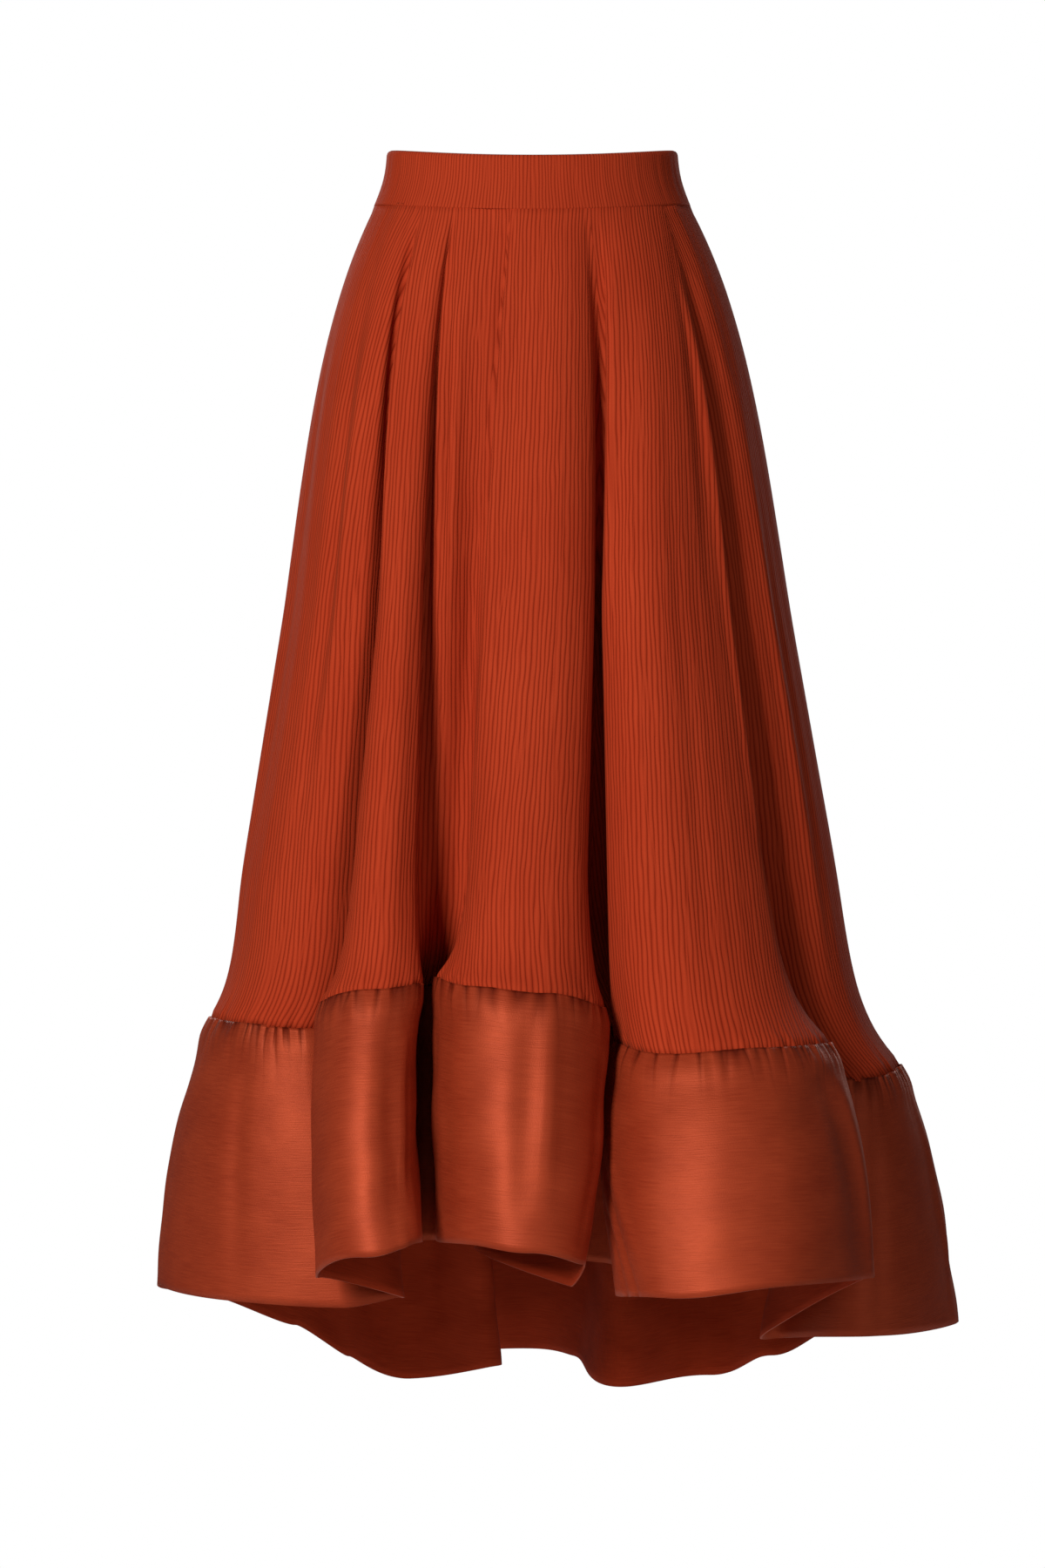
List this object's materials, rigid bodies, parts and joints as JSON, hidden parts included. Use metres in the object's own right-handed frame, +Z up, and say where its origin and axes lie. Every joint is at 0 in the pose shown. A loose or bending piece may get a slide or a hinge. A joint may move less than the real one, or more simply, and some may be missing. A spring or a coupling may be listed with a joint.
{
  "type": "pleated skirt",
  "caption": "Long crinkle-pleated skirt with a flat waistband, deep soft folds and a wide stiff satin hem band that dips lower at the back.",
  "frame": {"origin": "centre of the waist, half way up the waistband", "axes": "+Z up, the front of the skirt faces -Y, +X to the right as the front is seen"},
  "size_m": [0.6634, 0.6189, 1.038],
  "materials": {
    "waistband_cloth": "crinkled, matte",
    "panel_cloth": "crinkle pleated, soft sheen",
    "hem_satin": "satin"
  },
  "bodies": {
    "root": {"waistband_front": "waistband_cloth", "waistband_back": "waistband_cloth", "panel_front": "panel_cloth", "panel_back": "panel_cloth", "hem_band_front": "hem_satin", "hem_band_back": "hem_satin"}
  },
  "joints": []
}
